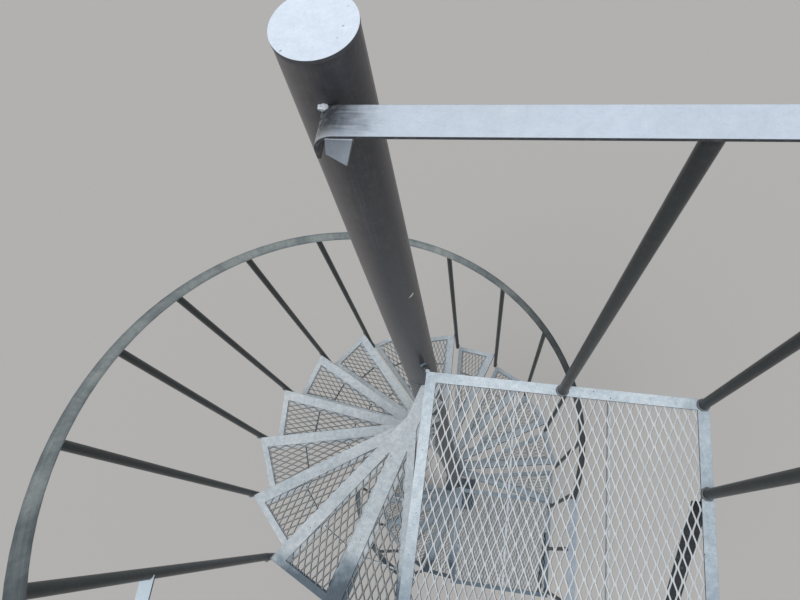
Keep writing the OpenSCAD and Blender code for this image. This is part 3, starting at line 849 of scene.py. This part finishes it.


# stair paint

# the same charcoal paint on each kind of piece
# up, side, under: sRGB colours, 0 to 255, where it faces the sky, on its sides and below, with sky light
# and shade painted into them
# rough: roughness, sky: from how far up a face takes the up colour, tone: strength of the cloudy tone
# specks, streaks, rub: how much of each, the streaks being rain runs and on the column painted
# highlights, round: radius of the worn edges
# low, wall, right, sunk: shade low down, beside the building, at the right edge and in frames
# beside: where the wall shade starts and is full, drag: strength of the brush lines round the column
# lit: direction, start, full and colour of a side that catches painted light, and for the handrail end
# the start, end and colour of a painted reflection of the dark column
paintFinishes = {
    "column": {"up": (222, 234, 248), "side": (66, 66, 71), "under": (40, 41, 44), "rough": 0.34,
               "sky": (0.35, 0.95), "specks": 0.02, "streaks": 0.22, "rub": 0.08, "round": 0.0012,
               "low": 0.8, "wall": 1.0, "tone": 0.34,
               "lit": ((-0.85, -0.5, 0.0), 0.2, 1.0, (94, 92, 93)),
               "chip": (0.0367, -0.0243, 4.6975)},
    "cap": {"up": (224, 236, 251), "side": (70, 72, 78), "under": (44, 45, 48), "rough": 0.40,
            "sky": (0.35, 0.95), "specks": 0.45, "streaks": 0.0, "rub": 0.10, "round": 0.0010,
            "low": 1.0, "wall": 1.0, "tone": 0.14},
    "landingFrame": {"up": (208, 220, 229), "side": (66, 70, 75), "under": (42, 44, 48), "rough": 0.42,
                     "sky": (0.30, 0.90), "specks": 0.42, "streaks": 0.20, "rub": 0.30, "round": 0.0012,
                     "low": 0.42, "wall": 0.50, "beside": (-0.36, -0.63), "right": 0.86, "sunk": 0.3,
                     "tone": 0.34},
    "frame": {"up": (203, 212, 218), "side": (58, 62, 67), "under": (38, 40, 44), "rough": 0.42,
              "sky": (0.30, 0.90), "specks": 0.40, "streaks": 0.20, "rub": 0.25, "round": 0.0012,
              "low": 0.46, "wall": 0.19, "sunk": 0.3, "tone": 0.38},
    "landingMesh": {"up": (210, 215, 219), "side": (44, 48, 52), "under": (28, 30, 34), "rough": 0.40,
                    "sky": (0.25, 0.85), "specks": 0.04, "streaks": 0.0, "rub": 0.0, "round": 0.0005,
                    "low": 0.34, "wall": 0.85, "tone": 0.22},
    "treadMesh": {"up": (162, 164, 165), "side": (46, 50, 54), "under": (30, 32, 36), "rough": 0.42,
                  "sky": (0.35, 0.95), "specks": 0.04, "streaks": 0.0, "rub": 0.0, "round": 0.0005,
                  "low": 0.7, "wall": 0.7, "tone": 0.25},
    # stiffeners: their sides painted nearly as light as their tops, as painted sky light
    "stiffener": {"up": (200, 208, 214), "side": (196, 204, 210), "under": (60, 63, 67), "rough": 0.45,
                  "sky": (0.30, 0.90), "specks": 0.05, "streaks": 0.2, "rub": 0.2, "round": 0.0010,
                  "low": 0.45, "wall": 0.9, "tone": 0.16},
    # the handrail's end by the column carries a painted reflection of the dark column
    "landingRail": {"up": (206, 219, 236), "side": (56, 60, 66), "under": (36, 38, 42), "rough": 0.36,
                    "sky": (0.35, 1.0), "specks": 0.05, "streaks": 0.10, "rub": 0.30, "round": 0.0010,
                    "low": 0.6, "wall": 1.0, "tone": 0.12, "darkReflection": (0.004, 0.078, (52, 56, 62)),
                    "lit": ((-0.9, 0.0, 0.43), 0.25, 0.85, (192, 199, 205))},
    "plainRail": {"up": (196, 212, 224), "side": (60, 64, 70), "under": (36, 38, 42), "rough": 0.38,
                  "sky": (0.35, 1.0), "specks": 0.05, "streaks": 0.10, "rub": 0.30, "round": 0.0010,
                  "low": 0.2, "wall": 1.0, "tone": 0.14},
    # the lower landing's handrail: the rail paint with darker colours, as painted shade under the flight
    # above
    "shadedLowerRail": {"up": (160, 171, 184), "side": (60, 64, 70), "under": (36, 38, 42), "rough": 0.38,
                  "sky": (0.35, 1.0), "specks": 0.05, "streaks": 0.10, "rub": 0.30, "round": 0.0010,
                  "low": 1.0, "wall": 1.0, "tone": 0.30},
    "spiralRail": {"up": (56, 60, 63), "side": (44, 48, 51), "under": (30, 32, 35), "rough": 0.38,
                   "sky": (0.35, 1.0), "specks": 0.03, "streaks": 0.10, "rub": 0.08, "round": 0.0012,
                   "low": 0.55, "wall": 0.5, "tone": 0.34, "drag": 0.45,
                   "lit": ((0.77, 0.64, 0.0), -0.50, 0.47, (134, 143, 145))},
    "baluster": {"up": (150, 158, 166), "side": (49, 53, 55), "under": (32, 34, 36), "rough": 0.36,
                 "sky": (0.30, 1.0), "specks": 0.02, "streaks": 0.22, "rub": 0.08, "round": 0.0010,
                 "low": 0.9, "wall": 1.0, "tone": 0.20,
                 "lit": ((0.3, 0.95, 0.0), 0.0, 1.0, (62, 68, 70))},
    "brace": {"up": (46, 50, 55), "side": (36, 39, 43), "under": (28, 30, 33), "rough": 0.40,
              "sky": (0.30, 0.90), "specks": 0.05, "streaks": 0.15, "rub": 0.35, "round": 0.0012,
              "low": 0.8, "wall": 1.0, "tone": 0.20},
    "bead": {"up": (120, 126, 132), "side": (52, 56, 60), "under": (36, 38, 42), "rough": 0.40,
             "sky": (0.10, 0.95), "specks": 0.25, "streaks": 0.0, "rub": 0.15, "round": 0.0008,
             "low": 0.5, "wall": 0.8, "tone": 0.30},
    # lump on the lug: dark all over as painted shade beside the column
    "shadedBead": {"up": (66, 68, 72), "side": (48, 50, 54), "under": (36, 38, 42), "rough": 0.40,
                 "sky": (0.10, 0.95), "specks": 0.1, "streaks": 0.0, "rub": 0.10, "round": 0.0008,
                 "low": 0.8, "wall": 1.0, "tone": 0.30},
    "brightBead": {"up": (214, 220, 230), "side": (120, 124, 132), "under": (50, 52, 56), "rough": 0.34,
                   "sky": (0.0, 0.7), "specks": 0.3, "streaks": 0.0, "rub": 0.25, "round": 0.0008,
                   "low": 1.0, "wall": 1.0, "tone": 0.35},
}
slotFinish = {
    "column_paint": "column", "frame_paint": "frame", "mesh_paint": "landingMesh",
    "rail_paint": "landingRail", "baluster_paint": "baluster",
}
nodeFinish = {
    "column_cap": "cap", "upper_landing_frame": "landingFrame", "lower_landing_frame": "landingFrame",
    "upper_landing_stiffeners": "stiffener", "lower_landing_stiffeners": "stiffener",
    "upper_landing_brace": "brace", "lower_landing_brace": "brace",
    "upper_spiral_handrail": "spiralRail", "lower_spiral_handrail": "spiralRail",
    "lower_landing_handrail": "shadedLowerRail", "handrail_wall_bracket": "plainRail",
}
wear = {
    # sRGB colours of streaks (rain runs, and on the column painted highlights), rubbed edges, pits and
    # the chip on the column
    "streak": (150, 156, 160), "rubbed": (172, 176, 180), "speck": (58, 56, 56), "chip": (222, 222, 224),
    "grain": (0.3, 0.7), "drag": (0.30, 0.62),  # parts of the noise that are stretched to the full tone
    "lighten": 0.5,  # how much the tone lightens, as a share of how much it darkens
    "rough": (0.06, 0.1),  # glossier and duller than the finish says
    "gloss": 0.3, "speckDepth": 1.5, "bump": 0.25, "bumpDepth": 0.0006,
}


def linearColour(colour):
    parts = [c / 255 for c in colour]
    return tuple(c / 12.92 if c <= 0.04045 else ((c + 0.055) / 1.055) ** 2.4 for c in parts) + (1.0,)


def useGroup(tree, key, **values):
    # a surface group with some of its inputs set, Low_Shade for the input Low Shade
    made = tree.nodes.new("ShaderNodeGroup")
    made.node_tree = surfaceGroups[key]
    for label, value in values.items():
        made.inputs[label.replace("_", " ")].default_value = value
    return made


def mixColour(tree, amount, first, second, blend="MIX"):
    # sockets 6, 7 and 2 of the node are its colours
    made = addNode(tree, "ShaderNodeMix", {0: amount, 6: first, 7: second}, data_type="RGBA",
                   blend_type=blend)
    return made.outputs[2]


def makeStairPaint(name, finish):
    paint = bpy.data.materials.new(name + "Paint")
    paint.use_nodes = True
    tree = paint.node_tree
    shader = tree.nodes["Principled BSDF"]
    low, high = finish["sky"]
    sky = useGroup(tree, "facing", From=low, To=high, Patchiness=0.25)
    below = useGroup(tree, "facing", Direction=(0, 0, -1), From=0.1, To=0.8, Patchiness=0.1)
    grain = useGroup(tree, "grain")
    specks = useGroup(tree, "specks", Share=finish["specks"])
    streaks = useGroup(tree, "streaks")
    rub = useGroup(tree, "rub", Round=finish["round"])
    stand = useGroup(tree, "stand", Low_Shade=finish["low"], Wall_Shade=finish["wall"],
                     Sunk_Shade=finish.get("sunk", 1.0), Right_Shade=finish.get("right", 1.0))
    if "beside" in finish:
        for label, value in zip(("Wall From", "Wall To"), finish["beside"]):
            stand.inputs[label].default_value = value

    # the colour by where a face looks, with painted sky light on top and painted shade on the sides and
    # below, and the streaks that have run over it
    side, under = linearColour(finish["side"]), linearColour(finish["under"])
    colour = mixColour(tree, below.outputs["Mask"], side, under)
    runs = mathNode(tree, "MULTIPLY", streaks.outputs["Mask"], finish["streaks"])
    colour = mixColour(tree, runs, colour, linearColour(wear["streak"]))
    colour = mixColour(tree, sky.outputs["Mask"], colour, linearColour(finish["up"]))
    if "lit" in finish:
        towards, start, full, litColour = finish["lit"]
        lit = useGroup(tree, "facing", Direction=towards, From=start, To=full,
                       Patchiness=0.3, Patch_Size=9.0)
        colour = mixColour(tree, lit.outputs["Mask"], colour, linearColour(litColour))
    # painted reflection of the dark column, darkening the end of the handrail
    if "darkReflection" in finish:
        start, end, reflectionColour = finish["darkReflection"]
        darkReflection = useGroup(tree, "columnReflection", From=start, To=end)
        colour = mixColour(tree, darkReflection.outputs["Mask"], colour, linearColour(reflectionColour))
    worn = mathNode(tree, "MULTIPLY", rub.outputs["Mask"], finish["rub"])
    colour = mixColour(tree, worn, colour, linearColour(wear["rubbed"]))

    # its tone and shade, and then what has come off
    least, most = wear["grain"]
    grainTone = grain.outputs["Tone"]
    tone = rampNode(tree, grainTone, least, most, 1.0 - finish["tone"],
                    1.0 + wear["lighten"] * finish["tone"], "LINEAR")
    if "drag" in finish:
        start, end = wear["drag"]
        drag = useGroup(tree, "round")
        dragTone = rampNode(tree, drag.outputs["Tone"], start, end, 1.0 - finish["drag"],
                            1.0 + finish["drag"], "LINEAR")
        tone = mathNode(tree, "MULTIPLY", tone, dragTone)
    cool = useGroup(tree, "cool")
    tree.links.new(mathNode(tree, "MULTIPLY", tone, stand.outputs["Shade"]), cool.inputs["Shade"])
    colour = mixColour(tree, 1.0, colour, cool.outputs["Color"], blend="MULTIPLY")
    colour = mixColour(tree, specks.outputs["Mask"], colour, linearColour(wear["speck"]))
    if "chip" in finish:
        chip = useGroup(tree, "chip", Spot=finish["chip"])
        colour = mixColour(tree, chip.outputs["Mask"], colour, linearColour(wear["chip"]))
    tree.links.new(colour, shader.inputs["Base Color"])

    glossy, dull = wear["rough"]
    rough = rampNode(tree, grainTone, least, most, finish["rough"] - glossy, finish["rough"] + dull,
                     "LINEAR")
    tree.links.new(rough, shader.inputs["Roughness"])
    shader.inputs["Specular IOR Level"].default_value = wear["gloss"]
    sunk = mathNode(tree, "MULTIPLY_ADD", specks.outputs["Mask"], -wear["speckDepth"],
                    grain.outputs["Height"])
    bump = addNode(tree, "ShaderNodeBump", {
        "Height": sunk, "Normal": rub.outputs["Normal"],
        "Strength": wear["bump"], "Distance": wear["bumpDepth"]})
    tree.links.new(bump.outputs["Normal"], shader.inputs["Normal"])
    return paint


paints = {name: makeStairPaint(name, finish) for name, finish in paintFinishes.items()}
for part in stairRecord["subparts"]:
    finishName = nodeFinish.get(part["node"], slotFinish[part["material_slot"]])
    pieceFinish[stairNodes[part["node"]]] = finishName
for piece, finishName in pieceFinish.items():
    piece.data.materials.clear()
    piece.data.materials.append(paints[finishName])
print("paint given to", len(pieceFinish), "pieces")
